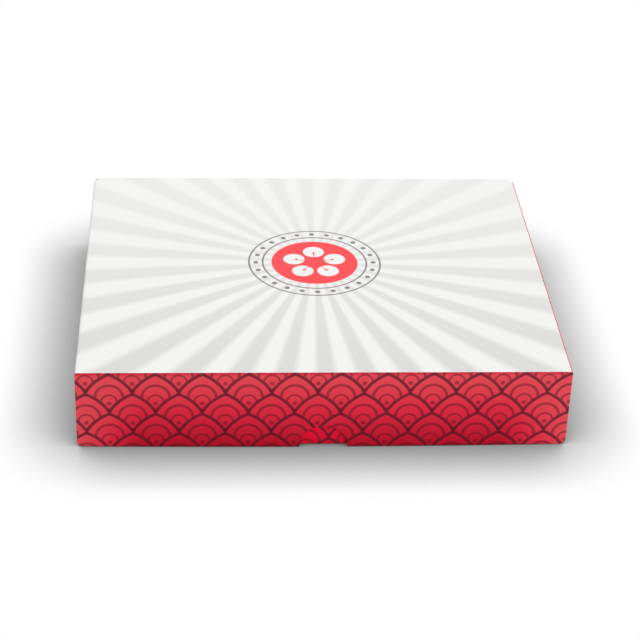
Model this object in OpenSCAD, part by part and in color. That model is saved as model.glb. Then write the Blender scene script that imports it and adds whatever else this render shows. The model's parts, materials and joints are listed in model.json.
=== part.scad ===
// Takeout carton folded from one printed sheet of paperboard.
// A shallow tray is glued at its four corners, and its lid is hinged along the back rim.
// The lid's front and side skirts hang outside the tray, and the front skirt has a thumb notch.
// The origin is on the table under the middle of the closed carton, with the front facing -Y.

/* [Carton] */
// Outside width of the closed carton
box_w = 230; // [180:1:300]
// Outside depth of the closed carton, front to back
box_d = 198; // [150:1:260]
// Outside height of the closed carton
box_h = 41; // [30:1:70]
// Thickness of the paperboard
board = 0.6; // [0.4:0.05:0.8]
// Outer radius of a folded edge
fold_r = 1.2; // [1:0.05:2]

/* [Tray] */
// Gap between the tray's front wall and the lid's glue tabs
front_gap = 0.6; // [0.3:0.05:1.5]
// Gap between the tray's left rim and the lid's fold, as the lid sits to the right on the tray
left_gap = 0.1; // [0.1:0.05:1.5]
// Gap between the tray's right rim and the lid's fold
right_gap = 1.1; // [0.1:0.05:1.5]
// Length of the glue tabs inside the tray's corners
tray_tab = 18; // [10:1:40]
// How far a glue tab stops short of the base and the rim
tab_relief = 2; // [1:0.5:5]
// How deep a glued tab is pressed into its wall
glue_sink = 0.02; // [0.01:0.01:0.05]
// Gap between the tray's rim and the closed lid
rim_gap = 0.1; // [0.05:0.05:0.4]

/* [Lid] */
// Height of the skirt's lower edge above the table
skirt_lift = 0.5; // [0.4:0.1:4]
// Radius of the skirts' lower corners
skirt_corner_r = 2.5; // [2:0.5:8]
// Length of the glue tabs inside the lid's front corners
lid_tab = 16; // [8:1:40]
// Length of skirt cut away beside the hinge
hinge_relief = 3; // [1.5:0.5:8]
// Radius of the half-moon thumb notch in the front skirt
notch_r = 11.3; // [8:0.1:14]

/* [Print] */
// Thickness of a printed film
ink = 0.05; // [0.03:0.01:0.1]
// Width of one scale of the wave pattern
wave_pitch = 21.4; // [16:0.2:30]
// Sideways shift of the wave pattern from the middle
wave_shift = 7.5; // [-10:0.5:10]
// Drop from the lid's fold to the first row of wave tips
wave_drop = 1; // [0.5:0.1:6]
// Width of the line round each scale
wave_line = 1.3; // [0.6:0.1:1.6]
// Width of the second line inside a scale
inner_line = 0.9; // [0.4:0.1:1.2]
// Width of the innermost line of a scale
core_line = 0.6; // [0.3:0.1:0.8]
// Number of sun rays on the lid
ray_count = 30; // [18:2:48]
// Share of each ray's pitch that is shaded
ray_duty = 0.5; // [0.3:0.05:0.7]
// Stretch of the sun's rays from front to back
ray_stretch = 1.16; // [1:0.02:1.3]
// Gap between the emblem's outer ring and the start of the sun's rays
ray_gap = 2.5; // [1:0.5:10]
// Distance from the lid's edge at which the rays end
ray_margin = 2; // [1:0.5:10]
// Distance of the emblem behind the middle of the lid
emblem_back = 4.6; // [0:0.2:12]
// Radius of the emblem's disc
emblem_r = 21.8; // [15:0.2:24]
// Radius of one petal of the blossom
petal_r = 5.4; // [4:0.1:5.6]
// Width of the disc left outside the petals
petal_margin = 5.6; // [3:0.2:7]
// Least width of disc left between two petals
petal_gap = 1.2; // [0.8:0.1:2]
// Gap between the disc and the ring round it
ring_gap = 4; // [2:0.5:10]
// Gap between the two rings, where the dots lie
ring_step = 6; // [4:0.5:10]
// Line width of the two rings
ring_line = 0.9; // [0.4:0.1:1.4]
// Number of dots between the rings
dot_count = 24; // [12:2:30]
// Radius of one dot between the rings
dot_r = 1.3; // [0.8:0.1:1.6]

/* [Hidden] */

$fn = 64;
// A little extra on a cut, so that it passes right through
over = 1;
// Points on each side of a drawn arch, and on each smaller arc
arch_steps = 4;
arc_steps = 6;
core_steps = 4;
seed_sides = 6;
dot_sides = 12;
petals = 5;

// The lid's board lies inside the two films of its print
print_t = 2 * ink;
lid_w = box_w - 2 * print_t;
lid_front = -box_d / 2 + print_t;
lid_top = box_h - print_t;
back = box_d / 2;
lid_corner_y = lid_front + board;

// How far the inside of the lid's fold reaches in at the height of the tray's rim
fold_inner = fold_r - board;
rim_rise = max(fold_inner - rim_gap, 0);
fold_reach = fold_inner - sqrt(pow(fold_inner, 2) - pow(rim_rise, 2));

// The tray's walls stand inside the lid's skirts, its glued tabs and its folds
tray_w = lid_w - 2 * board - 2 * fold_reach - left_gap - right_gap;
tray_x = (left_gap - right_gap) / 2;
tray_front = lid_corner_y + max(board, fold_reach) + front_gap;
rim_z = lid_top - board - rim_gap;

// The hinge runs along the fold between the back wall and the lid
hinge_y = back - board / 2;
hinge_z = lid_top - board / 2;

// Where the flat of the front skirt begins, below the lid's fold, and where its lower corners begin
skirt_top = lid_top - fold_r;
skirt_foot = skirt_lift + skirt_corner_r;

// The emblem is built outwards, from its blossom to its disc, two rings and the sun's rays
petal_ring = emblem_r - petal_margin - petal_r;
ring_r = emblem_r + ring_gap + ring_line;
outer_ring_r = ring_r + ring_step + ring_line;
ray_start = outer_ring_r + ray_gap;

// The wave pattern's rows lie half a pitch apart. Each side of a pointed arch is an arc whose middle
// lies past the scale's own middle, and below its tip.
wave_row = wave_pitch / 2;
arch_past = 0.418 * wave_pitch;
arch_drop = 0.969 * wave_pitch;
arch_r = sqrt(pow(arch_past, 2) + pow(arch_drop, 2));
// How far an arch's line runs on past the middle of its neighbour's, so that the two overlap
arch_lap = wave_line / 4;
// A scale's inner arcs and dot, as shares of the pitch below its tip
inner_r = 0.303 * wave_pitch;
inner_drop = 0.573 * wave_pitch;
core_r = 0.164 * wave_pitch;
core_drop = 0.676 * wave_pitch;
seed_r = 0.05 * wave_pitch;
seed_drop = 0.711 * wave_pitch;
// Angle above the level at which the inner arcs end, at the next row
arc_end = 4;

// A rectangle from low to high, both [x, y]
module span(low, high) {
    translate(low) square(high - low);
}

// The waste outside one rounded corner, in the first quadrant
module corner_waste(r) {
    difference() {
        square(r);
        circle(r);
    }
}

// A folded strip of board, a quarter ring in the first quadrant
module bend() {
    difference() {
        intersection() {
            circle(fold_r);
            square(fold_r);
        }
        circle(fold_r - board);
    }
}

// Extrudes an outline drawn in Y and Z along X, over a length centred on x = 0
module along_x(length) {
    rotate([90, 0, 90]) linear_extrude(length, center = true) children();
}

// Extrudes an outline drawn in X and Z along Y, from y0 to y1
module along_y(y0, y1) {
    translate([0, y1, 0]) rotate([90, 0, 0]) linear_extrude(y1 - y0) children();
}

// Repeats a shape on the left and on the right
module both_sides() {
    children();
    mirror([1, 0, 0]) children();
}

// The tray as a solid block with rounded lower edges, drawn in by inset on all faces but the top.
// It is centred on x = 0 here, and moved to its place in the lid by tray_place.
module tray_block(inset, top) {
    r = fold_r - inset;
    half = tray_w / 2 - inset;
    y0 = tray_front + inset;
    y1 = back - inset;
    intersection() {
        along_x(tray_w) difference() {
            span([y0, inset], [y1, top]);
            translate([y0 + r, inset + r]) rotate(180) corner_waste(r);
            translate([y1 - r, inset + r]) rotate(270) corner_waste(r);
        }
        along_y(y0, y1) difference() {
            span([-half, inset], [half, top]);
            both_sides() translate([half - r, inset + r]) rotate(270) corner_waste(r);
        }
    }
}

// The vertical fold and glue tab at one end of a side wall whose outer face is at x = half.
// The fold begins at y = corner_y, and turn is 1 at the front and -1 at the back.
module corner_tab(half, corner_y, turn, tab, z0, z1) {
    translate([half - fold_r, corner_y, z0]) mirror([0, turn < 0 ? 1 : 0, 0]) linear_extrude(z1 - z0) {
        translate([0, fold_r]) rotate(-90) bend();
        translate([-tab, -glue_sink]) square([tab, board + glue_sink]);
    }
}

// The groove between a wall's raw end and the fold beside it
module corner_groove(half, corner_y, turn, z0, z1) {
    translate([half - fold_r, corner_y, z0]) mirror([0, turn < 0 ? 1 : 0, 0])
        linear_extrude(z1 - z0) translate([0, fold_r]) rotate(-90) corner_waste(fold_r);
}

// Moves what belongs to the tray's width to the tray's place
module tray_place() {
    translate([tray_x, 0, 0]) children();
}

module tray() {
    half = tray_w / 2;
    front_y = tray_front + board;
    back_y = back - board;
    color("crimson") tray_place() {
        difference() {
            tray_block(0, rim_z);
            tray_block(board, rim_z + over);
            both_sides() {
                corner_groove(half, front_y, 1, fold_r, rim_z + over);
                corner_groove(half, back_y, -1, fold_r, rim_z + over);
            }
        }
        both_sides() {
            corner_tab(half, front_y, 1, tray_tab, fold_r + tab_relief, rim_z - tab_relief);
            corner_tab(half, back_y, -1, tray_tab, fold_r + tab_relief, rim_z - tab_relief);
        }
    }
}

// The closed lid as a solid block with rounded upper edges, grown by grow at the top, front and sides
module lid_block(grow, bottom) {
    r = fold_r + grow;
    half = lid_w / 2 + grow;
    y0 = lid_front - grow;
    top = lid_top + grow;
    intersection() {
        along_x(2 * half) difference() {
            span([y0, bottom], [hinge_y, top]);
            translate([y0 + r, top - r]) rotate(90) corner_waste(r);
        }
        along_y(y0, hinge_y) difference() {
            span([-half, bottom], [half, top]);
            both_sides() translate([half - r, top - r]) corner_waste(r);
        }
    }
}

// The thumb notch, the rounded lower corners of the skirts, and the ends of the skirts at the hinge
module skirt_cuts() {
    deep = box_w;
    low = skirt_lift - over;
    translate([0, lid_corner_y + over, skirt_lift]) rotate([90, 0, 0])
        cylinder(h = 2 * over + board + print_t, r = notch_r);
    along_y(lid_front - over, lid_corner_y) both_sides()
        translate([box_w / 2 - skirt_corner_r, skirt_foot]) rotate(270) corner_waste(skirt_corner_r);
    along_x(2 * box_w) translate([lid_corner_y + skirt_corner_r, skirt_foot])
        rotate(180) corner_waste(skirt_corner_r);
    both_sides() corner_groove(box_w / 2, lid_corner_y, 1, low, skirt_top);
    tray_place() both_sides() {
        translate([tray_w / 2, back - hinge_relief, low]) cube([deep, deep, box_h + over]);
        translate([tray_w / 2, 0, 0]) rotate([90, 0, 90]) linear_extrude(box_w - tray_w)
            translate([back - hinge_relief - skirt_corner_r, skirt_foot])
                rotate(270) corner_waste(skirt_corner_r);
    }
}

module lid() {
    half = lid_w / 2;
    color("whitesmoke") {
        difference() {
            lid_block(0, skirt_lift);
            lid_block(-board, skirt_lift - over);
            skirt_cuts();
        }
        tray_place() translate([0, hinge_y, hinge_z]) rotate([0, 90, 0])
            cylinder(h = tray_w, d = board, center = true);
        both_sides()
            corner_tab(half, lid_corner_y, 1, lid_tab, skirt_foot, skirt_top - tab_relief);
    }
}

// The field of colour printed on the skirts, which starts half way round the lid's folds
module skirt_print() {
    color("crimson") difference() {
        lid_block(ink, skirt_lift);
        lid_block(0, skirt_lift - over);
        translate([-box_w, -box_d, lid_top - ink]) cube([2 * box_w, 2 * box_d, box_h]);
        skirt_cuts();
    }
}

// A line of the given width along an arc about centre, from angle a0 to a1
function arc_points(centre, r, a0, a1, steps) =
    [for (i = [0 : steps]) let (a = a0 + (a1 - a0) * i / steps) centre + r * [cos(a), sin(a)]];

function arc_line(centre, r, width, a0, a1, steps) = concat(
    arc_points(centre, r + width / 2, a0, a1, steps),
    arc_points(centre, r - width / 2, a1, a0, steps));

// One side of an arch with its tip at the origin, from its foot up to the tip
function arch_side(r) = arc_points([-arch_past, -arch_drop], r,
    acos((wave_row + arch_past + arch_lap) / r), acos(arch_past / r), arch_steps);

// Both sides of an arch, from foot to foot over the tip
function arch_points(r) = let (side = arch_side(r))
    concat(side, [for (i = [arch_steps - 1 : -1 : 0]) [-side[i].x, side[i].y]]);

// The line round one scale: two arcs that meet in a point
module scale_outline() {
    inner = arch_points(arch_r - wave_line / 2);
    polygon(concat(arch_points(arch_r + wave_line / 2), [for (i = [2 * arch_steps : -1 : 0]) inner[i]]));
}

module scale_lines() {
    scale_outline();
    polygon(arc_line([0, -inner_drop], inner_r, inner_line, arc_end, 180 - arc_end, arc_steps));
    polygon(arc_line([0, -core_drop], core_r, core_line, arc_end, 180 - arc_end, core_steps));
    translate([0, -seed_drop]) circle(seed_r, $fn = seed_sides);
}

// The front skirt's flat outline, drawn in X and Z and drawn in by inset
module front_face(inset) {
    half = lid_w / 2 - inset;
    r = skirt_corner_r;
    difference() {
        span([-half, skirt_lift + inset], [half, skirt_top]);
        both_sides() translate([half - r, skirt_lift + inset + r]) rotate(270) corner_waste(r);
        translate([0, skirt_lift]) circle(notch_r + inset);
    }
}

module wave_lines() {
    rows = ceil(box_h / wave_row) + 1;
    reach = ceil(box_w / wave_pitch / 2) + 1;
    first_z = lid_top - wave_drop;
    color("maroon") translate([0, lid_front - ink, 0]) rotate([90, 0, 0]) linear_extrude(ink)
        intersection() {
            front_face(inner_line);
            for (row = [-1 : rows]) for (i = [-reach : reach]) let (stagger = row % 2 == 0 ? 0 : 0.5)
                translate([wave_shift + (i + stagger) * wave_pitch, first_z - row * wave_row])
                    scale_lines();
        }
}

// The top panel's printed ground, inside its folds
module top_face() {
    span([ray_margin - lid_w / 2, lid_front + ray_margin], [lid_w / 2 - ray_margin, back - ray_margin]);
}

// One ray: a wedge from the sun's middle at the given angle, stretched front to back with the others
module ray(angle) {
    reach = box_w + box_d;
    half = 180 / ray_count * ray_duty;
    polygon([
        ray_start * [cos(angle - half), ray_stretch * sin(angle - half)],
        reach * [cos(angle - half), ray_stretch * sin(angle - half)],
        reach * [cos(angle + half), ray_stretch * sin(angle + half)],
        ray_start * [cos(angle + half), ray_stretch * sin(angle + half)]
    ]);
}

module sun_rays() {
    color("gainsboro") translate([0, 0, lid_top]) linear_extrude(ink) intersection() {
        top_face();
        translate([0, emblem_back]) for (i = [0 : ray_count - 1]) ray(90 + i * 360 / ray_count);
    }
}

// The red disc with a five-petal blossom left white in it
module emblem() {
    color("tomato") translate([0, emblem_back, lid_top]) linear_extrude(ink) {
        difference() {
            circle(emblem_r);
            difference() {
                for (i = [0 : petals - 1]) rotate(90 + i * 360 / petals)
                    translate([petal_ring, 0]) circle(petal_r);
                for (i = [0 : petals - 1]) rotate(90 + (i + 0.5) * 360 / petals)
                    translate([0, -petal_gap / 2]) square([emblem_r, petal_gap]);
            }
        }
    }
}

// Two thin rings round the emblem, with a row of dots between them
module emblem_rings() {
    middle = ring_r + ring_step / 2;
    color("gray") translate([0, emblem_back, lid_top]) linear_extrude(ink) {
        for (r = [ring_r, outer_ring_r]) difference() {
            circle(r);
            circle(r - ring_line);
        }
        for (i = [0 : dot_count - 1]) rotate(i * 360 / dot_count)
            translate([middle, 0]) circle(dot_r, $fn = dot_sides);
    }
}

tray();
lid();
skirt_print();
wave_lines();
sun_rays();
emblem();
emblem_rings();
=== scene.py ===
# %% [markdown]
# # A takeout carton with a hinged lid
# One sheet of printed paperboard makes this whole carton. It is cut, creased and glued into a
# shallow tray, and into a lid that hangs on the tray's back rim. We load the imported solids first:
# they say how big everything is and where the hinge lies, and every measure below is taken from
# them.

# %% Load the frame
import json
import math

import bmesh
import bpy
import numpy as np
from mathutils import Matrix, Vector, noise


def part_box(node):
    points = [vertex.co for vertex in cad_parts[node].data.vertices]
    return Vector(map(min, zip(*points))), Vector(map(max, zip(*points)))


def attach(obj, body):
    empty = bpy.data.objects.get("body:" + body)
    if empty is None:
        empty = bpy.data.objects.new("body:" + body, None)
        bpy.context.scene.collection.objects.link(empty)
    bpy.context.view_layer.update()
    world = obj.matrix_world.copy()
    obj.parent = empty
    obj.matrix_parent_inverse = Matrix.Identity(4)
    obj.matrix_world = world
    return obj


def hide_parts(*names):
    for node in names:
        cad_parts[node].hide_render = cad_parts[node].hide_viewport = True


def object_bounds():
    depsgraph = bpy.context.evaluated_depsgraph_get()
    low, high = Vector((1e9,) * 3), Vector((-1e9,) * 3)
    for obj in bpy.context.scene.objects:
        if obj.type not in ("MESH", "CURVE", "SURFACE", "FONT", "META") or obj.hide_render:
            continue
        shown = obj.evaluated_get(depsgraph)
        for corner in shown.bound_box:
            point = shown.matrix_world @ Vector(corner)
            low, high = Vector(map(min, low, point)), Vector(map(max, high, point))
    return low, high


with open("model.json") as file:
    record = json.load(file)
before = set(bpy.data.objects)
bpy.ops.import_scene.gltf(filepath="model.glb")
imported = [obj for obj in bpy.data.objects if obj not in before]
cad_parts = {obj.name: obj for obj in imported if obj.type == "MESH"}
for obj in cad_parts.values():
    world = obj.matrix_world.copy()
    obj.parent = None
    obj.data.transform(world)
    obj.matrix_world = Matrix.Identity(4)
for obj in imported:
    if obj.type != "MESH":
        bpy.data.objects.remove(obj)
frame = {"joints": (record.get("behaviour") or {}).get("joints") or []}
cad_box = [list(corner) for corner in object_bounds()]

MM = 0.001
lid_low, lid_high = (Vector(round(v, 5) for v in corner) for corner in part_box("lid"))
tray_low, tray_high = (Vector(round(v, 5) for v in corner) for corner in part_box("tray"))
hinge = Vector(frame["joints"][0]["pos_m"])
print("carton box in mm:", [[round(v / MM, 2) for v in corner] for corner in cad_box])

# %% [markdown]
# ## The camera
# The camera stands in front of the carton and looks down at about 31 degrees. Its place was
# worked out from the straight edges of the carton: the way that the sides run together gives the
# distance, and the height of the front face gives the tilt. A long lens keeps the perspective as
# gentle as it is there.

# %% Camera
CAMERA_LENS = 106.0
CAMERA_PITCH = math.radians(30.88)
CAMERA_YAW = math.radians(4.26)
CAMERA_ROLL = math.radians(-2.13)
# The middle of the lid's top as the camera sees it, in carton widths: right, up and ahead
CAMERA_OFFSET = Vector((-0.012, 0.117, 4.133))

carton_w = cad_box[1][0] - cad_box[0][0]
sin_p, cos_p = math.sin(CAMERA_PITCH), math.cos(CAMERA_PITCH)
look = Matrix(((1, 0, 0), (0, sin_p, cos_p), (0, cos_p, -sin_p)))
turn = Matrix.Rotation(CAMERA_YAW, 3, "Z")
tilt = Matrix.Rotation(CAMERA_ROLL, 3, "Z")
to_camera = tilt @ look @ turn
place = -(to_camera.transposed() @ (CAMERA_OFFSET * carton_w)) + Vector((0, 0, cad_box[1][2]))

camera = bpy.data.objects.new("camera", bpy.data.cameras.new("camera"))
camera.data.lens = CAMERA_LENS
camera.data.sensor_width = 36
camera.data.clip_end = 20
right, up, ahead = to_camera
camera.matrix_world = Matrix.Translation(place) @ Matrix((right, up, -ahead)).transposed().to_4x4()
bpy.context.scene.collection.objects.link(camera)
bpy.context.scene.camera = camera
print("camera is", round(place.length, 3), "m from the carton")

# %% [markdown]
# ## A sheet has two sides
# Board is folded, not carved, so every point of it has a place on the outside and one on the
# inside, 0.6 mm apart. A Solidify modifier could thicken a surface, but it guesses at the folds
# and can't keep print to one side. We work out both sides from one number instead: how far past
# the start of a fold a point lies on the flat sheet. The fold bends the sheet over a quarter
# circle.

# %% The profile of a folded sheet
BOARD = 0.6 * MM
FOLD_R = 1.2 * MM
QUARTER = FOLD_R * math.pi / 2
FOLD_STEPS = 6


def profile(s, inset):
    """How far out and down a point lies, s past the start of a fold and inset into the board."""
    angle = np.clip(s / FOLD_R, 0, math.pi / 2)
    r = FOLD_R - inset
    return r * np.sin(angle), FOLD_R - r * np.cos(angle) + np.maximum(s - QUARTER, 0)


print("a fold takes up", round(QUARTER / MM, 2), "mm of the flat sheet")

# %% [markdown]
# ## From a flat blank to half a carton
# The tray and the lid are made alike: a flat panel, folds along its edges, walls, and glue tabs
# that turn the corners and lie against the wall beside them. Each becomes a patch of points.
# Where the outside and the inside of two patches both meet, they are welded, and where they
# don't, the die has cut the sheet and its raw edge shows. Each corner of a face also keeps its
# place on the flat blank, because a printer prints on the flat sheet, before it is folded.

# %% Half a carton, patch by patch
# Rows of a wall, as shares of its depth: one lies close to the fold, where the corner is cut
CUT_ROW, ROWS_BELOW = 0.008, 12
WALL_ROWS = np.concatenate([[0], np.linspace(CUT_ROW, 1, ROWS_BELOW)])[:, None]
TAB_STEPS = 5
TAB_TAPER = 0.16
GLUE = 0.02 * MM


class Half:
    """A flat panel at height z0, with walls folded up (way 1) or down (way -1) from its edges."""

    def __init__(self, low, high, z0, way):
        self.z0, self.way, self.patches = z0, way, []
        self.sides = {"left": (0, low.x, 1), "right": (0, high.x, -1),
                      "front": (1, low.y, 1), "back": (1, high.y, -1)}

    def points(self, side, along, out, *down):
        """Points beside one edge of the panel. Without down, their places on the flat blank."""
        axis, edge, sign = self.sides[side]
        across = edge + sign * (FOLD_R - out)
        pair = (along, across) if axis else (across, along)
        heights = [self.z0 + self.way * d for d in down]
        return np.stack(np.broadcast_arrays(*pair, *heights), -1)

    def add(self, outer, inner, flat, flat_inner=None):
        self.patches.append((outer, inner, flat, flat_inner))

    def panel(self, xs, ys):
        x, y = np.meshgrid(xs, ys)
        skins = [np.stack([x, y, np.full_like(x, self.z0 + self.way * inset)], -1)
                 for inset in (0, BOARD)]
        self.add(*skins, np.stack([x, y], -1))

    def fold(self, side, along, mitres):
        s = np.linspace(0, QUARTER, FOLD_STEPS + 1)[:, None]
        skins = []
        for inset in (0, BOARD):
            out, down = profile(s, inset)
            spread = np.repeat([along], len(s), 0)
            spread[:, 0] -= mitres[0] * out[:, 0]
            spread[:, -1] += mitres[1] * out[:, 0]
            skins.append(self.points(side, spread, out, down))
        self.add(*skins, self.points(side, along + 0 * s, s))

    def wall(self, side, tops, feet, depths, mitres=(0, 0)):
        along, depth = tops + (feet - tops) * WALL_ROWS, depths * WALL_ROWS
        skins = []
        for inset in (0, BOARD):
            spread = along.copy()
            spread[0, 0] += mitres[0] * inset
            spread[0, -1] -= mitres[1] * inset
            skins.append(self.points(side, spread, FOLD_R - inset, FOLD_R + depth))
        self.add(*skins, self.points(side, along, QUARTER + depth))

    def corner(self, side, start, turn, depth, tab):
        """The fold round an upright corner and its glue tab, from a wall's end at start."""
        quarter = np.linspace(0, math.pi / 2, FOLD_STEPS + 1)
        angle = np.append(quarter, np.full(TAB_STEPS, math.pi / 2))
        past = np.append(np.zeros(FOLD_STEPS), np.linspace(0, tab, TAB_STEPS + 1))
        rows = WALL_ROWS[1:] * depth
        rows = rows + (rows.mean() - rows) * TAB_TAPER * past / tab
        skins = []
        for inset in (0, BOARD):
            r = FOLD_R - inset
            along, out = start + turn * r * np.sin(angle), r * np.cos(angle) - past
            skins.append(self.points(side, along, out, FOLD_R + rows))
        self.add(*skins, self.points(side, start + turn * (FOLD_R * angle + past), QUARTER + rows))


print("a wall has", len(WALL_ROWS), "rows of points, and a fold", FOLD_STEPS + 1)

# %% [markdown]
# ## Welding the patches
# The patches of a half share the points along their edges. Merge by Distance could join the two
# skins of the board as well, because they lie so close together. We weld by pairs instead: two
# points become one only where both the outside and the inside agree to a thousandth of a
# millimetre.

# %% Weld a half
WELD = 1e-6
# Moves round measures off the line between two steps of WELD
WELD_SHIFT = 0.3


def welded(half):
    """The points as pairs, outside and inside, and the faces with their places on the blank."""
    index, places, quads = {}, [], []
    for outer, inner, flat, flat_inner in half.patches:
        pair = np.concatenate([outer, inner], -1)
        keys = np.round(pair / WELD + WELD_SHIFT).astype(int)
        ids = np.empty(pair.shape[:2], int)
        for at in np.ndindex(ids.shape):
            key = tuple(keys[at])
            if key not in index:
                index[key] = len(places)
                places.append(pair[at])
            ids[at] = index[key]
        for i, j in np.ndindex(ids.shape[0] - 1, ids.shape[1] - 1):
            loop = [(i, j), (i, j + 1), (i + 1, j + 1), (i + 1, j)]
            lining = None if flat_inner is None else [flat_inner[at] for at in loop]
            quads.append(([ids[at] for at in loop], [flat[at] for at in loop], lining))
    return np.array(places), quads


print("points are welded within", WELD / MM, "mm")

# %% [markdown]
# ## One closed mesh
# The outside carries the print, the inside is plain board, and the cut edges show the board's raw
# core, so the mesh gets three materials. A free edge belongs to one face only: each of those gets
# a face that joins the outside to the inside. What comes out is a closed solid, as thick as the
# real sheet.

# %% Close and bow a half
PRINTED, PLAIN, RAW = range(3)
SHARP = math.radians(35)


def board_mesh(name, half, bow):
    """A closed mesh of both skins and the cut edges, with its points moved by bow."""
    places, quads = welded(half)
    count = len(places)
    faces = [quad for quad, _, _ in quads]
    maps = [flat for _, flat, _ in quads]
    kinds, edges = [PRINTED] * len(quads), {}
    for quad, flat, lining in quads:
        faces.append([v + count for v in reversed(quad)])
        maps.append(list(reversed(lining or flat)))
        kinds.append(PRINTED if lining else PLAIN)
        for k in range(4):
            a, b = quad[k], quad[(k + 1) % 4]
            edges.setdefault(frozenset((a, b)), []).append((a, b, flat[k], flat[(k + 1) % 4]))
    for a, b, flat_a, flat_b in (found[0] for found in edges.values() if len(found) == 1):
        faces.append([b, a, a + count, b + count])
        maps.append([flat_b, flat_a, flat_a, flat_b])
        kinds.append(RAW)
    mesh = bpy.data.meshes.new(name)
    skins = np.concatenate([places[:, :3], places[:, 3:]])
    mesh.from_pydata(bow(skins).tolist(), [], faces)
    mesh.polygons.foreach_set("material_index", kinds)
    uvs = mesh.uv_layers.new(name="flat").uv
    uvs.foreach_set("vector", np.array(maps, np.float32).ravel())
    whole = bmesh.new()
    whole.from_mesh(mesh)
    bmesh.ops.recalc_face_normals(whole, faces=whole.faces)
    whole.to_mesh(mesh)
    closed = all(edge.is_manifold for edge in whole.edges)
    print(name, "faces", len(mesh.polygons), "cut edges", kinds.count(RAW), "closed", closed,
          "volume mm3", round(whole.calc_volume() / MM**3))
    whole.free()
    mesh.shade_smooth()
    mesh.set_sharp_from_angle(angle=SHARP)
    made = bpy.data.objects.new(name, mesh)
    bpy.context.scene.collection.objects.link(made)
    return made


# %% [markdown]
# ## The lid
# The lid is the top panel with a front skirt and two side skirts. The die rounds the skirts'
# lower corners and cuts the half-moon notch for a thumb. A Boolean could cut the notch, but it
# leaves slivers in so thin a wall. Here the columns of points follow the cut line, so the mesh
# has its true outline and no stair steps.

# %% The lid's outline
CORNER_R = 2.5 * MM
NOTCH_R = 11.3 * MM
ARC_STEPS = 6
NOTCH_STEPS = 24
# Columns from a corner to the notch, both ends counted
FRONT_COLUMNS = 15

skirt_depth = lid_high.z - FOLD_R - lid_low.z
arc = np.linspace(0, math.pi / 2, ARC_STEPS + 1)


def rounded(r):
    """A rounded lower corner: how far in from the wall's end each point lies, and how far up."""
    return r * (1 - np.cos(arc)), r * (1 - np.sin(arc))


def spread(first, second, last):
    """The same points on the fold above, where they are spread so that they clear the corner."""
    return np.append(first, np.linspace(second, last, ARC_STEPS))


into, lift = rounded(CORNER_R)
turns = np.linspace(math.pi, 0, NOTCH_STEPS + 1)
span = np.linspace(lid_low.x + CORNER_R, -NOTCH_R, FRONT_COLUMNS)[1:-1]
front_feet = np.concatenate([lid_low.x + into, span, NOTCH_R * np.cos(turns), -span[::-1],
                             lid_high.x - into[::-1]])
cut_away = np.concatenate([lift, 0 * span, NOTCH_R * np.sin(turns), 0 * span, lift[::-1]])
front_depths = skirt_depth - cut_away
tongue = lid_high.x - tray_high.x
ends = spread(0, tongue, CORNER_R)
front_tops = front_feet.copy()
front_tops[:len(ends)] = lid_low.x + ends
front_tops[-len(ends):] = lid_high.x - ends[::-1]
print("front skirt has", len(front_feet), "columns, and its notch is", 2 * NOTCH_R / MM, "mm wide")

# %% Fold the lid
HINGE_RELIEF = 3 * MM
LID_TAB = 16 * MM
SIDE_COLUMNS = 24
# How far the second column lies from a side wall's end, along the fold
FRONT_EASE, BACK_EASE = 0.6 * MM, 0.8 * MM

lid_start = lid_low.y + BOARD + GLUE + FOLD_R
lid_end = lid_high.y - HINGE_RELIEF
side_r = CORNER_R - FOLD_R
side_into, side_lift = rounded(side_r)
span = np.linspace(lid_start + side_r, lid_end - CORNER_R, SIDE_COLUMNS)[1:-1]
side_feet = np.concatenate([lid_start + side_into, span, lid_end - into[::-1]])
side_depths = skirt_depth - np.concatenate([side_lift, 0 * span, lift[::-1]])
side_tops = np.concatenate([lid_start + spread(0, FRONT_EASE, side_r), span,
                            lid_end - spread(0, BACK_EASE, CORNER_R)[::-1]])

panel_x, panel_y = front_tops.copy(), np.append(lid_low.y + FOLD_R, side_tops)
panel_x[[0, -1]] += np.array([FOLD_R, -FOLD_R])

lid = Half(lid_low, lid_high, lid_high.z, -1)
lid.panel(panel_x, panel_y)
lid.fold("front", panel_x, (1, 1))
lid.wall("front", front_tops, front_feet, front_depths, (1, 1))
for side in ("left", "right"):
    lid.fold(side, panel_y, (1, 0))
    lid.wall(side, side_tops, side_feet, side_depths)
    lid.corner(side, lid_start, -1, side_depths[0], LID_TAB)
print("lid has", len(lid.patches), "patches before its hinge")

# %% [markdown]
# ## The hinge
# Between the notched ends of the skirts, the panel runs on to the fold along the back rim. The
# fold is rolled round the hinge's own axis, so that it stays a smooth round edge however far the
# lid swings. Its outside is printed all the way round, because the same sheet runs on down the
# back wall.

# %% Roll the hinge
ROLL_R = BOARD / 2
ROLL_END = math.radians(80)
ROLL_STEPS = 4
HINGE_ROWS = 4

hinge_x = panel_x[1:-1]
lid.panel(hinge_x, np.linspace(lid_end, hinge.y, HINGE_ROWS))
roll = np.linspace(0, ROLL_END, ROLL_STEPS + 1)[:, None]
roll_y = hinge.y + ROLL_R * np.sin(roll) + 0 * hinge_x
rolled = [np.stack(np.broadcast_arrays(hinge_x, roll_y, hinge.z + way * ROLL_R * np.cos(roll)), -1)
          for way in (1, -1)]
roll_flat = [np.stack(np.broadcast_arrays(hinge_x, hinge.y + ROLL_R * angle), -1)
             for angle in (roll, math.pi - roll)]
lid.add(*rolled, *roll_flat)
print("the hinge is a roll", 2 * ROLL_R / MM, "mm thick")

# %% [markdown]
# ## The bow of real board
# A real lid is never quite flat. Its top rises a third of a millimetre in the middle and has slow
# waves in it, and its skirts belly out towards their lower edges, the front one by 1.2 mm. A
# lattice could bend it too, but a formula on the points keeps the corners where they are, because
# each push fades out towards them.

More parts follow.
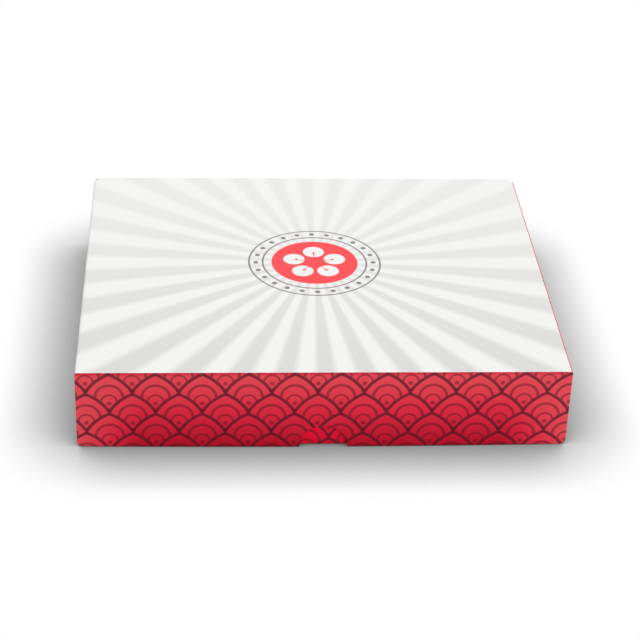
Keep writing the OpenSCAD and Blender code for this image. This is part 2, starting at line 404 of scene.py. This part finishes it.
# %% Bow the lid
LID_CROWN = 0.32 * MM
LID_WAVES = 0.07 * MM
WAVE_SIZE = 48 * MM
SKIRT_BELLY, SIDE_BELLY = 1.2 * MM, 0.35 * MM
# The first keeps the waves off the panel's rim, and the second keeps the bellies to the walls
RIM_POWER, WALL_POWER = 8, 12
lid_half = Vector((lid_high.x, (lid_high.y - lid_low.y) / 2))
lid_height = lid_high.z - lid_low.z


def mound(n, power=2):
    """1 in the middle, where n is 0, and 0 at both ends, where it is -1 and 1."""
    return np.clip(1 - n**power, 0, 1)


def lid_bow(p):
    """The panel is crowned and waved, and the skirts belly out towards their lower edges."""
    nx, ny = p[:, 0] / lid_half.x, (p[:, 1] - lid_low.y) / lid_half.y - 1
    low = np.clip((lid_high.z - p[:, 2]) / lid_height, 0, 1)
    inner = mound(nx, RIM_POWER) * mound(ny, RIM_POWER)
    waves = np.array([noise.noise(Vector((x, y, 0)) / WAVE_SIZE) for x, y in p[:, :2]])
    moved = p.copy()
    moved[:, 2] += LID_CROWN * mound(nx) * mound(ny) + LID_WAVES * waves * inner
    moved[:, 1] -= SKIRT_BELLY * mound(nx) * low * np.clip(-ny, 0, 1)**WALL_POWER
    moved[:, 0] += SIDE_BELLY * mound(ny) * low * np.sign(nx) * np.abs(nx)**WALL_POWER
    return moved


carton_lid = board_mesh("carton_lid", lid, lid_bow)

# %% [markdown]
# ## The tray
# The tray is the same idea upside down: a base with four walls, glued at its corners by tabs on
# the side walls' ends. Its rim stops just under the lid, apart from the back wall, which runs up
# to the hinge. The front and the side walls lean in by half a millimetre in the middle, as open
# board walls do, and the front wall's foot bows out by about one millimetre.

# %% Fold the tray
TRAY_TAB = 18 * MM
RIM_GAP = 0.01 * MM
TRAY_COLUMNS, TRAY_ROWS = 31, 27

tray = Half(tray_low, tray_high, tray_low.z, 1)
tab_room = BOARD + GLUE + FOLD_R
tray_start, tray_end = tray_low.y + tab_room, tray_high.y - tab_room
tray_x = np.linspace(tray_low.x + FOLD_R, tray_high.x - FOLD_R, TRAY_COLUMNS)
side_y = np.linspace(tray_start, tray_end, TRAY_ROWS)
tray_y = np.concatenate([[tray_low.y + FOLD_R], side_y, [tray_high.y - FOLD_R]])
wall_x = np.concatenate([[tray_low.x], tray_x[1:-1], [tray_high.x]])
rim_depth = tray_high.z - tray_low.z - FOLD_R
back_depth = hinge.z - ROLL_R - RIM_GAP - tray_low.z - FOLD_R

tray.panel(tray_x, tray_y)
for side, depth in (("front", rim_depth), ("back", back_depth)):
    tray.fold(side, tray_x, (1, 1))
    tray.wall(side, wall_x, wall_x, depth + 0 * wall_x, (1, 1))
for side in ("left", "right"):
    tray.fold(side, tray_y, (1, 1))
    tray.wall(side, side_y, side_y, rim_depth + 0 * side_y)
    tray.corner(side, tray_start, -1, rim_depth, TRAY_TAB)
    tray.corner(side, tray_end, 1, rim_depth, TRAY_TAB)
print("tray walls are", round(rim_depth / MM, 2), "mm deep, and the back one",
      round(back_depth / MM, 2), "mm")

# %% Bow the tray
WALL_LEAN = 0.5 * MM
FOOT_BELLY = 1.1 * MM
BASE_CROWN = 0.25 * MM
tray_mid, tray_half = (tray_high + tray_low) / 2, (tray_high - tray_low) / 2


def tray_bow(p):
    """The base is a little hollow below, and the walls lean in along their rims."""
    nx, ny = (p[:, 0] - tray_mid.x) / tray_half.x, (p[:, 1] - tray_mid.y) / tray_half.y
    high = np.clip((p[:, 2] - tray_low.z) / (2 * tray_half.z), 0, 1)
    front_push = WALL_LEAN * high - FOOT_BELLY * (1 - high)
    moved = p.copy()
    moved[:, 2] += BASE_CROWN * mound(nx) * mound(ny) * (1 - high)
    moved[:, 1] += front_push * mound(nx) * np.clip(-ny, 0, 1)**WALL_POWER
    moved[:, 0] -= WALL_LEAN * mound(ny) * high * np.sign(nx) * np.abs(nx)**WALL_POWER
    return moved


carton_tray = board_mesh("carton_tray", tray, tray_bow)

# %% [markdown]
# ## Shader maths as plain Python
# The print is drawn by arithmetic on places of the flat blank. A small class wraps a node's
# output, and its operators add Math nodes, so that `1 - mask` can be written as it is read. One
# method makes every other kind of node: it sets the node's settings first, and then its sockets.

# %% A wire that does arithmetic
GRAIN_ROUGHNESS = 0.55


class Wire:
    """One output of a node in a material. Arithmetic on it adds Math nodes to the material."""

    def __init__(self, tree, socket=None):
        self.tree, self.socket = tree, socket

    def node(self, kind, settings=None, sockets=None, out=0):
        """Adds a node, with its settings first and then its sockets' values or wires."""
        made = self.tree.nodes.new(kind)
        for name, value in (settings or {}).items():
            setattr(made, name, value)
        for key, value in (sockets or {}).items():
            if isinstance(value, Wire):
                self.tree.links.new(value.socket, made.inputs[key])
            else:
                made.inputs[key].default_value = value
        return Wire(self.tree, made.outputs[out]) if made.outputs else None

    def math(self, operation, *values, clamp=False):
        settings = {"operation": operation, "use_clamp": clamp}
        return self.node("ShaderNodeMath", settings, dict(enumerate(values)))

    def __add__(self, other): return self.math("ADD", self, other)
    def __radd__(self, other): return self.math("ADD", other, self)
    def __sub__(self, other): return self.math("SUBTRACT", self, other)
    def __rsub__(self, other): return self.math("SUBTRACT", other, self)
    def __mul__(self, other): return self.math("MULTIPLY", self, other)
    def __rmul__(self, other): return self.math("MULTIPLY", other, self)
    def __truediv__(self, other): return self.math("DIVIDE", self, other)
    def __abs__(self): return self.math("ABSOLUTE", self)

    def floor(self): return self.math("FLOOR", self)
    def frac(self): return self.math("FRACT", self)
    def above(self, other): return self.math("GREATER_THAN", self, other)
    def least(self, other): return self.math("MINIMUM", self, other)
    def most(self, other): return self.math("MAXIMUM", self, other)
    def clamp(self): return self.math("ADD", self, 0, clamp=True)
    def hypot(self, other): return self.math("SQRT", self * self + other * other)

    def mix(self, a, b):
        """A colour: a where this wire is 0, and b where it is 1."""
        return self.node("ShaderNodeMix", {"data_type": "RGBA"}, {0: self, 6: a, 7: b}, 2)

    def grain(self, size, detail=2.0):
        """Noise from 0 to 1 over the places of this wire, with grains of about that size."""
        return self.node("ShaderNodeTexNoise", None, {
            "Vector": self, "Scale": 1 / size, "Detail": detail, "Roughness": GRAIN_ROUGHNESS})


# %% Colours and ink
INK_EDGE = 0.14


def rgb(red, green, blue):
    """A colour given as it looks on screen, from 0 to 255, as the shader wants it."""
    def linear(c):
        """The curve of every standard screen, undone."""
        c /= 255
        return c / 12.92 if c < 0.04045 else ((c + 0.055) / 1.055) ** 2.4
    return (linear(red), linear(green), linear(blue), 1.0)


def grey(light):
    """A grey given as the share of light that it sends back."""
    return (light, light, light, 1.0)


def inked(distance, blur=INK_EDGE):
    """Turns a distance inside an outline, in mm, into ink with a slightly soft edge."""
    return (distance / blur + 0.5).clamp()


print("a middle grey on screen is", round(rgb(128, 128, 128)[0], 3), "to the shader")

# %% [markdown]
# ## The wave pattern
# The old scale pattern covers the red board: rows of pointed arches, each half hidden by the row
# below. A texture image would blur close up, so each scale is worked out as a distance. A point
# belongs to the lowest scale that covers it: first we try the row that it lies in, and then the
# row above. The arches are two arcs that meet in a point, with two smaller arcs and a dot inside.

# %% Scales from arcs
PITCH = 21.4
ROW = PITCH / 2
WAVE_SHIFT = 7.5
# Each side of an arch is an arc whose middle lies past the scale's own middle, and below its tip
PAST, DROP = 0.418 * PITCH, 0.969 * PITCH
OUTLINE, INNER, CORE = 1.6, 1.4, 1.0
ARCH_R = math.hypot(PAST, DROP) + OUTLINE / 2
TIP_RISE = math.sqrt(ARCH_R**2 - PAST**2) - DROP
INNER_R, INNER_DROP = 0.3 * PITCH, 0.58 * PITCH
CORE_R, CORE_DROP = 0.171 * PITCH, 0.695 * PITCH
SEED_R, SEED_DROP = 0.05 * PITCH, 0.732 * PITCH
# The outlines cross a little above the tips of the next row, and the ink runs together there
BLOT_R, BLOT_RISE, BLOT_EDGE = 1.5, 1.1, 1.4


def scales(across, down):
    """Masks of the outlines, of the finer lines inside, and of the blots where outlines cross."""
    row = ((down + TIP_RISE) / ROW).floor()
    into = down - row * ROW
    near_side = abs(((across - WAVE_SHIFT) / PITCH + row * 0.5 + 0.5).frac() - 0.5) * PITCH
    covered = (ARCH_R - (near_side + PAST).hypot(DROP - into)).above(0)
    side = ROW - near_side + covered * (2 * near_side - ROW)
    drop = into + (1 - covered) * ROW
    edge = ARCH_R - (side + PAST).hypot(DROP - drop)
    outline = OUTLINE / 2 - abs(edge - OUTLINE / 2)

    def arc_line(r, centre, width):
        return (width / 2 - abs(side.hypot(centre - drop) - r)).least(centre - drop)

    fine = arc_line(INNER_R, INNER_DROP, INNER).most(arc_line(CORE_R, CORE_DROP, CORE))
    seed = SEED_R - side.hypot(SEED_DROP - drop)
    blots = near_side.hypot(into + BLOT_RISE).least((ROW - near_side).hypot(ROW - BLOT_RISE - into))
    return inked(outline), inked(fine).most(inked(seed)), inked(BLOT_R - blots, BLOT_EDGE)


print("one scale is", PITCH, "mm wide, with its rows", ROW, "mm apart")

# %% [markdown]
# ## Red board
# The red is one ink, with light and shade painted into it. It is painted brighter near the fold
# and at the ends of the front, as painted light, and painted deeper low down in the middle, as
# painted shade. The darker lines are printed over it, a little cloudy, so they are mixed in by a
# mask rather than painted on as a second layer.

# %% Red ink, with its painted light and shade
# Painted light and shade: the first red is the front painted brightest, the last its deepest
# painted shade
RED_LIT, RED_MIDDLE, RED_SHADED = rgb(228, 72, 84), rgb(219, 35, 62), rgb(178, 0, 32)
# The tray's red is painted brighter than the lid's, to make up for the shade behind the skirt
RED_TRAY_BRIGHTENED = rgb(232, 2, 50)
# The lines are painted lighter where the red is painted lit, and darker in its painted shade
LINE_LIT, LINE_SHADED, LINE_BLOT = rgb(92, 28, 40), rgb(92, 8, 26), rgb(48, 12, 24)
OUTLINE_INK, FINE_INK = 0.84, 0.6
CLOUD_SIZE, CLOUD = 9 * MM, 0.16


def red_ground(shade_and_lip):
    """Three reds in turn: 0 where the front is painted lit, 1 where its painted shade is deepest.
    """
    upper = (shade_and_lip * 2).clamp().mix(RED_LIT, RED_MIDDLE)
    return (shade_and_lip * 2 - 1).clamp().mix(upper, RED_SHADED)


def red_print(place, across, down, shade_and_lip, ground):
    """A red ground with its scales printed over it; the lines take the painted light and shade too.
    """
    outline, fine, blot = scales(across, down)
    dark = blot.mix(shade_and_lip.mix(LINE_LIT, LINE_SHADED), LINE_BLOT)
    cloud = (place.grain(CLOUD_SIZE) - 0.5) * CLOUD
    ink = (outline * OUTLINE_INK).most(fine * FINE_INK) + cloud * fine.most(outline)
    return ink.clamp().mix(ground, dark)


print("lines are", OUTLINE, INNER, "and", CORE, "mm wide")

# %% [markdown]
# ## The sun on the lid
# The top is white board with thirty pale grey rays, which spread from a point a little behind the
# middle. The rays are stretched from front to back, their edges are soft, and they are strongest
# at the front; towards the back they are painted fainter, as painted glare of the coated top. In
# the middle stands a plain round emblem: a red disc with a five-petal blossom left white, two thin
# rings and a row of dots.

# %% Rays
RAYS = 30
RAY_STRETCH = 1.16
# How soft the edge of a ray is, as a share of the way from one ray to the next
RAY_BLUR = 0.18
# A ray fills half of that way, a quarter to each side of its middle
RAY_SIDE = 0.25
SUN_X, SUN_Y = 0.2, 4.0
# From full strength at the front, the rays fade over RAY_FADE mm to RAY_FAR at RAY_FADED_Y: painted
# glare
RAY_FADED_Y, RAY_FADE, RAY_FAR = 60, 150, 0.4


def sun_rays(x, y, v):
    """A mask of the rays round the sun, from its own x and y and from the place v on the lid."""
    angle = y.math("ARCTAN2", y / RAY_STRETCH, x) / (2 * math.pi) * RAYS
    off = abs((angle - RAYS / 4 + 0.5).frac() - 0.5)
    # The rays are painted fainter towards the back, for the glare of the coated top there
    strength = ((RAY_FADED_Y - v) / RAY_FADE).clamp() * (1 - RAY_FAR) + RAY_FAR
    return inked(RAY_SIDE - off, RAY_BLUR) * strength


print(RAYS, "rays, each", 180 / RAYS, "degrees wide")

# %% Emblem
WHITE, RAY_GREY = rgb(241, 241, 239), rgb(218, 218, 216)
CORAL, WARM_GREY = rgb(252, 70, 78), rgb(128, 118, 118)
DISC_R = 21.8
PETALS, PETAL_R, PETAL_RING = 5, 5.4, 10.8
STAMEN, STAMEN_LINE, ANTHER_R = 9.6, 0.5, 0.8
RING_1, RING_2, RING_LINE, RING_INK = 26.25, 33.15, 0.9, 0.92
DOTS, DOT_R, DOT_RING = 24, 1.3, (RING_1 + RING_2) / 2


def turned(x, y, count):
    """Places beside and along the nearest spoke of count: the circle is folded to one sector."""
    angle = x.math("ARCTAN2", x, y)
    sector = 2 * math.pi / count
    local = ((angle / sector + 0.5).frac() - 0.5) * sector
    r = x.hypot(y)
    return r * local.math("SINE", local), r * local.math("COSINE", local)


def sun_print(u, v):
    """The colours of the lid's top: white board, rays, rings, dots, disc and blossom."""
    x, y = u - SUN_X, v - SUN_Y
    r = x.hypot(y)
    disc = inked(DISC_R - r)
    beside, along = turned(x, y, PETALS)
    petals = inked(PETAL_R - beside.hypot(along - PETAL_RING))
    stamens = inked((STAMEN_LINE / 2 - abs(beside)).least(STAMEN - along))
    heart = stamens.most(inked(ANTHER_R - beside.hypot(along - STAMEN)))
    rings = [inked(RING_LINE / 2 - abs(r - ring)) for ring in (RING_1, RING_2)]
    beside, along = turned(x, y, DOTS)
    dots = inked(DOT_R - beside.hypot(along - DOT_RING))
    ground = (sun_rays(x, y, v) * (1 - disc)).mix(WHITE, RAY_GREY)
    ground = (rings[0].most(rings[1]).most(dots) * RING_INK).mix(ground, WARM_GREY)
    return (disc * (1 - petals * (1 - heart))).mix(ground, CORAL)


print("the emblem is", 2 * RING_2 + RING_LINE, "mm across")

# %% [markdown]
# ## A surface of board
# Three finishes come from one sheet: the coated print, the plain inside and the raw cut edge.
# They share one surface shader, which takes a colour, a roughness and a height. The bump heights
# are real ones in metres: the fine grain is some hundredths of a millimetre high or less, and the
# slow swell up to six hundredths, so the board looks right at any distance.

# %% Board surfaces
def start_material(name):
    """An empty material, and a wire to make its nodes from."""
    material = bpy.data.materials.new(name)
    material.use_nodes = True
    material.node_tree.nodes.clear()
    return material, Wire(material.node_tree)


def board_surface(paint, colour, rough, height, shine):
    """A shader from a colour, a roughness, a height in metres and a strength of reflection."""
    bump = paint.node("ShaderNodeBump", None, {"Height": height, "Distance": 1.0, "Strength": 1.0})
    return paint.node("ShaderNodeBsdfPrincipled", None, {
        "Base Color": colour, "Roughness": rough, "Normal": bump, "Specular IOR Level": shine})


def finished(material, shader):
    """Makes a shader the surface of its material."""
    shader.node("ShaderNodeOutputMaterial", None, {"Surface": shader})
    return material


def blank_place(paint):
    """The place on the flat blank, as a vector in metres, and its two parts in mm."""
    place = paint.node("ShaderNodeUVMap", {"uv_map": "flat"})
    parts = [paint.node("ShaderNodeSeparateXYZ", None, {0: place}, axis) / MM for axis in "XY"]
    return place, *parts


# %% [markdown]
# ## The coated side
# The printed side is coated, so it has a soft satin sheen and only a faint tooth. Where a fold
# has stretched the board, the ink has cracked in places, and the white of the board shows through
# as fine specks. A scratch texture would look the same at every fold. Noise that is cut off at a
# level gives specks which never repeat.

# %% Coated board
SATIN, SHEEN = 0.4, 0.15
# Grain of the coating: its size, how high it stands in metres, and what it adds to the roughness
TOOTH_SIZE, TOOTH_HIGH, TOOTH_ROUGH = 1.6 * MM, 9e-6, 0.08
SWELL_SIZE, SWELL_HIGH, SWELL_ROUGH = 22 * MM, 6e-5, 0.06
CRACK_SIZE, CRACK_DEEP, CRACK_ROUGH = 0.9 * MM, 1.2e-5, 0.25
CRACK_LEVEL, CRACK_EDGE, CRACK_REACH, CRACK_SHOWS = 0.62, 0.08, 0.9, 0.55
CRACK = rgb(236, 226, 224)
FOLD_MM = FOLD_R / MM
HALF_FOLD = QUARTER / MM / 2


def coated(place, colour, past):
    """The printed side, with its ink cracked along the fold, past which a place lies so many mm."""
    worn = (1 - abs(past - HALF_FOLD) / CRACK_REACH).clamp()
    cracks = inked(place.grain(CRACK_SIZE, detail=4.0) - CRACK_LEVEL, CRACK_EDGE) * worn
    tooth = place.grain(TOOTH_SIZE, detail=5.0)
    swell = place.grain(SWELL_SIZE)
    rough = SATIN + tooth * TOOTH_ROUGH + swell * SWELL_ROUGH + cracks * CRACK_ROUGH
    height = tooth * TOOTH_HIGH + swell * SWELL_HIGH - cracks * CRACK_DEEP
    shown = (cracks * CRACK_SHOWS).mix(colour, CRACK)
    return board_surface(place, shown, rough, height, SHEEN)


print("ink cracks within", CRACK_REACH, "mm of a fold's middle")

# %% [markdown]
# ## The print on the lid
# The lid's blank shows the sun on the panel, and the scales on everything beyond its folds. Its
# front is painted brightest at the top and at the ends, and darker low in the middle: painted
# light and shade. A narrow darker band lies just under the fold, and a painted shadow runs along
# the cut foot, where the front stands close above the floor.

# %% The lid's print, in mm
# The print sits a little to the left of the folds, so a thin line of red shows on the right rim.
# The scales start a little above the lower end of the fold.
PRINT_SHIFT, PRINT_RISE = 0.45, 0.2
FOLD_EDGE = 0.1
# The painted shade fades out this near the front's ends, and the side skirts get one share of it
END_SHADE_FADE, SIDE_SHADE = 30, 0.5
# The darker band under the front's fold, and the painted shadow along its foot
LIP_BAND, LIP_DEEP = 2.4, 0.75
FOOT_SHADOW_BAND, FOOT_SHADOW = 1.0, 0.6
skirt_mm = skirt_depth / MM


def lid_print():
    material, paint = start_material("lid_print")
    place, u, v = blank_place(paint)
    side = abs(u + PRINT_SHIFT) - (lid_high.x / MM - FOLD_MM)
    front = (lid_low.y / MM + FOLD_MM) - v
    back = v - hinge.y / MM
    is_front = front.above(side)
    across = is_front * u + (1 - is_front) * v
    past = side.most(front)
    down = past - (QUARTER / MM - PRINT_RISE)
    inward = ((lid_high.x / MM - abs(u)) / END_SHADE_FADE).clamp()
    # Painted shade: the red darkens down the skirts, and on the front it fades out towards the ends
    shade_and_lip = (down / skirt_mm).clamp() * (is_front * inward + (1 - is_front) * SIDE_SHADE)
    # The darker band under the front's fold is print, and joins the painted shade here
    shade_and_lip = shade_and_lip.most((LIP_BAND - past).clamp() * is_front * LIP_DEEP)
    # A painted shadow along the front's cut foot, where it stands close above the floor
    foot_shadow = (past - (skirt_mm + QUARTER / MM) + FOOT_SHADOW_BAND).clamp() * is_front * inward
    ground = (foot_shadow * FOOT_SHADOW).mix(red_ground(shade_and_lip), LINE_SHADED)
    red = red_print(place, across, down, shade_and_lip, ground)
    on_roll = inked(back - ROLL_R / MM * math.pi / 2, FOLD_EDGE)
    on_skirt = inked(past - HALF_FOLD, FOLD_EDGE).most(on_roll)
    return finished(material, coated(place, on_skirt.mix(sun_print(u, v), red), past))


# %% [markdown]
# ## The print on the tray
# The tray's walls carry the same scales on a red painted brighter than the lid's, to make up for
# the shade that it stands in behind the skirt, and painted deeper towards the foot as painted
# shade. Printers run ink on past a fold, so that no white shows when the fold lands a little off:
# here it bleeds three millimetres under the base. The rest of the base is left white.

# %% The tray's print, in mm
BLEED, BLEED_EDGE = 3.0, 0.3
TRAY_PHASE, TRAY_DROP = 5.75, 4.5
# The painted shade at the foot of the tray's walls fades out over this many mm
TRAY_SHADE_FADE = 6
BASE_PALE, BASE_DIM, BASE_CLOUD = rgb(238, 237, 234), rgb(232, 231, 228), 30 * MM


def tray_print():
    material, paint = start_material("tray_print")
    place, u, v = blank_place(paint)
    side = abs(u - tray_mid.x / MM) - (tray_half.x / MM - FOLD_MM)
    end = abs(v - tray_mid.y / MM) - (tray_half.y / MM - FOLD_MM)
    is_end = end.above(side)
    across = is_end * u + (1 - is_end) * v - TRAY_PHASE
    past = side.most(end)
    down = (rim_depth + QUARTER) / MM - past - TRAY_DROP
    # Painted shade, deepest at the foot of the walls, where they meet the floor
    low = ((TRAY_SHADE_FADE - past) / TRAY_SHADE_FADE).clamp()
    red = red_print(place, across, down, low, low.mix(RED_TRAY_BRIGHTENED, RED_SHADED))
    base = place.grain(BASE_CLOUD).mix(BASE_PALE, BASE_DIM)
    return finished(material, coated(place, inked(past + BLEED, BLEED_EDGE).mix(base, red), past))


print("the tray's print bleeds", BLEED, "mm under its base")

# %% [markdown]
# ## Plain and raw board
# The inside is plain board, warmer, matt and flecked with fibres that lie along the sheet, so its
# noise is stretched one way. The cut edge shows the pressed layers of the core, which are finer
# than anything on the faces.

# %% Plain board and the cut edge
PLAIN_PALE, PLAIN_DIM, FLECK = rgb(240, 236, 228), rgb(228, 222, 211), rgb(196, 182, 160)
FIBRE_SQUEEZE, FIBRE_MM, FIBRE_HIGH, FIBRE_ROUGH = 0.25, 0.7, 1.6e-5, 0.14
FLECK_SIZE, FLECK_LEVEL, FLECK_EDGE, FLECK_SHOWS = 1.1 * MM, 0.7, 0.05, 0.3
PULP_SIZE, PULP_HIGH = 35 * MM, 5e-5
PLAIN_ROUGH, PLAIN_SHINE = 0.78, 0.25
CORE_PALE, CORE_DIM = rgb(240, 236, 228), rgb(206, 196, 180)
LAYER, LAYER_HIGH, LAYER_ROUGH = 0.16 * MM, 3e-5, 0.1
CORE_ROUGH, CORE_SHINE = 0.86, 0.2


def plain_board():
    material, paint = start_material("plain_board")
    place, u, v = blank_place(paint)
    stretched = paint.node("ShaderNodeCombineXYZ", None, {0: u * FIBRE_SQUEEZE, 1: v, 2: 0.0})
    fibres = stretched.grain(FIBRE_MM, detail=5.0)
    flecks = inked(place.grain(FLECK_SIZE, detail=3.0) - FLECK_LEVEL, FLECK_EDGE)
    pulp = place.grain(PULP_SIZE)
    colour = ((fibres + pulp) / 2).mix(PLAIN_DIM, PLAIN_PALE)
    colour = (flecks * FLECK_SHOWS).mix(colour, FLECK)
    height = fibres * FIBRE_HIGH + pulp * PULP_HIGH
    rough = PLAIN_ROUGH + fibres * FIBRE_ROUGH
    return finished(material, board_surface(paint, colour, rough, height, PLAIN_SHINE))


def raw_edge():
    material, paint = start_material("raw_edge")
    layers = paint.node("ShaderNodeTexCoord", out="Object").grain(LAYER, detail=4.0)
    colour = layers.mix(CORE_DIM, CORE_PALE)
    rough, height = CORE_ROUGH + layers * LAYER_ROUGH, layers * LAYER_HIGH
    return finished(material, board_surface(paint, colour, rough, height, CORE_SHINE))


inside, cut = plain_board(), raw_edge()
for piece, outside in ((carton_lid, lid_print()), (carton_tray, tray_print())):
    for material in (outside, inside, cut):
        piece.data.materials.append(material)
print("finishes:", [m.name for m in bpy.data.materials if m.users])

# %% [markdown]
# ## Telling the frame what each piece is
# The tray and the lid move apart, so each rides on its own body. The lid's mesh carries its
# print, so it stands for the lid and for the thin films of ink that the solids have.

# %% Ride on the bodies
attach(carton_tray, "tray")
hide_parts("tray")
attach(carton_lid, "lid")
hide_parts("lid", "skirt_print", "wave_lines", "sun_rays", "emblem", "emblem_rings")

# %% [markdown]
# ## The floor
# The carton stands on plain paper that runs out to pure white. A floor lit so strongly would
# throw light back on the carton. So the camera alone sees a glowing white sheet, and the light
# sees dull paper. Ambient Occlusion tells how much of the sky a spot sees, and darkens the glow
# near the carton into a soft shadow.

# %% Lay the floor
FLOOR_SIZE = 6.0
PAPER_DIM, PAPER_PALE, PAPER_CLOUD = grey(0.5), grey(0.52), 0.4
PAPER_GRAIN, PAPER_HIGH = 0.004, 2e-5
PAPER_ROUGH, PAPER_SHINE = 0.9, 0.1
SHADOW_REACH, SHADOW_SAMPLES = 42 * MM, 16
SHADOW_GREY = grey(0.05)

bpy.ops.mesh.primitive_plane_add(size=FLOOR_SIZE, location=(0, 0, 0))
floor = bpy.context.object
floor.name = "floor"
material, paint = start_material("floor_paper")
spot = paint.node("ShaderNodeTexCoord", out="Object")
colour = spot.grain(PAPER_CLOUD).mix(PAPER_DIM, PAPER_PALE)
height = spot.grain(PAPER_GRAIN) * PAPER_HIGH
paper = board_surface(paint, colour, PAPER_ROUGH, height, PAPER_SHINE)
sky = paint.node("ShaderNodeAmbientOcclusion", {"samples": SHADOW_SAMPLES},
                 {"Distance": SHADOW_REACH}, "AO")
glow = paint.node("ShaderNodeEmission", None, {"Color": (sky * sky).mix(SHADOW_GREY, grey(1))})
seen = paint.node("ShaderNodeLightPath", out="Is Camera Ray")
sheet = paint.node("ShaderNodeMixShader", None, {0: seen, 1: paper, 2: glow})
floor.data.materials.append(finished(material, sheet))
print("the shadow reaches", SHADOW_REACH / MM, "mm")

# %% [markdown]
# ## The light
# Two wide softboxes light the carton. One hangs above and behind it, and lights the top. The
# other stands low in front, to the right, and lights the front and the right side. Their
# strengths are set so that the inks come out about as they are mixed, and the white doesn't burn
# out.

# %% Softboxes
def softbox(name, place, size, watts):
    """A rectangular lamp that faces the middle of the carton's foot."""
    lamp = bpy.data.objects.new(name, bpy.data.lights.new(name, "AREA"))
    lamp.data.shape, lamp.data.energy = "RECTANGLE", watts
    lamp.data.size, lamp.data.size_y = size
    facing = (-Vector(place)).to_track_quat("-Z", "Y").to_matrix().to_4x4()
    lamp.matrix_world = Matrix.Translation(place) @ facing
    bpy.context.scene.collection.objects.link(lamp)
    print("softbox", name, "gives", watts, "W")


softbox("over", (-0.3, 1.0, 1.4), (1.6, 1.0), 11)
softbox("key", (0.9, -1.6, 0.68), (1.4, 1.0), 18)

# %% [markdown]
# ## The surroundings
# Pale surroundings fill the shadows. The camera sees them as pure white, and so do mirror-like
# and clear surfaces, but as a source of light they are weaker, so that the folds and edges keep
# their shade.

# %% Surroundings
FILL = 0.62

world = bpy.context.scene.world or bpy.data.worlds.new("surroundings")
bpy.context.scene.world = world
world.use_nodes = True
world.node_tree.nodes.clear()
air = Wire(world.node_tree)
camera_ray, glossy_ray, clear_ray = (
    air.node("ShaderNodeLightPath", out=name)
    for name in ("Is Camera Ray", "Is Glossy Ray", "Is Transmission Ray"))
strength = camera_ray.most(glossy_ray).most(clear_ray) * (1 - FILL) + FILL
backdrop = air.node("ShaderNodeBackground", None, {"Color": grey(1), "Strength": strength})
air.node("ShaderNodeOutputWorld", None, {"Surface": backdrop})
bpy.context.scene.view_settings.view_transform = "Standard"
print("surroundings light the carton at a strength of", FILL)
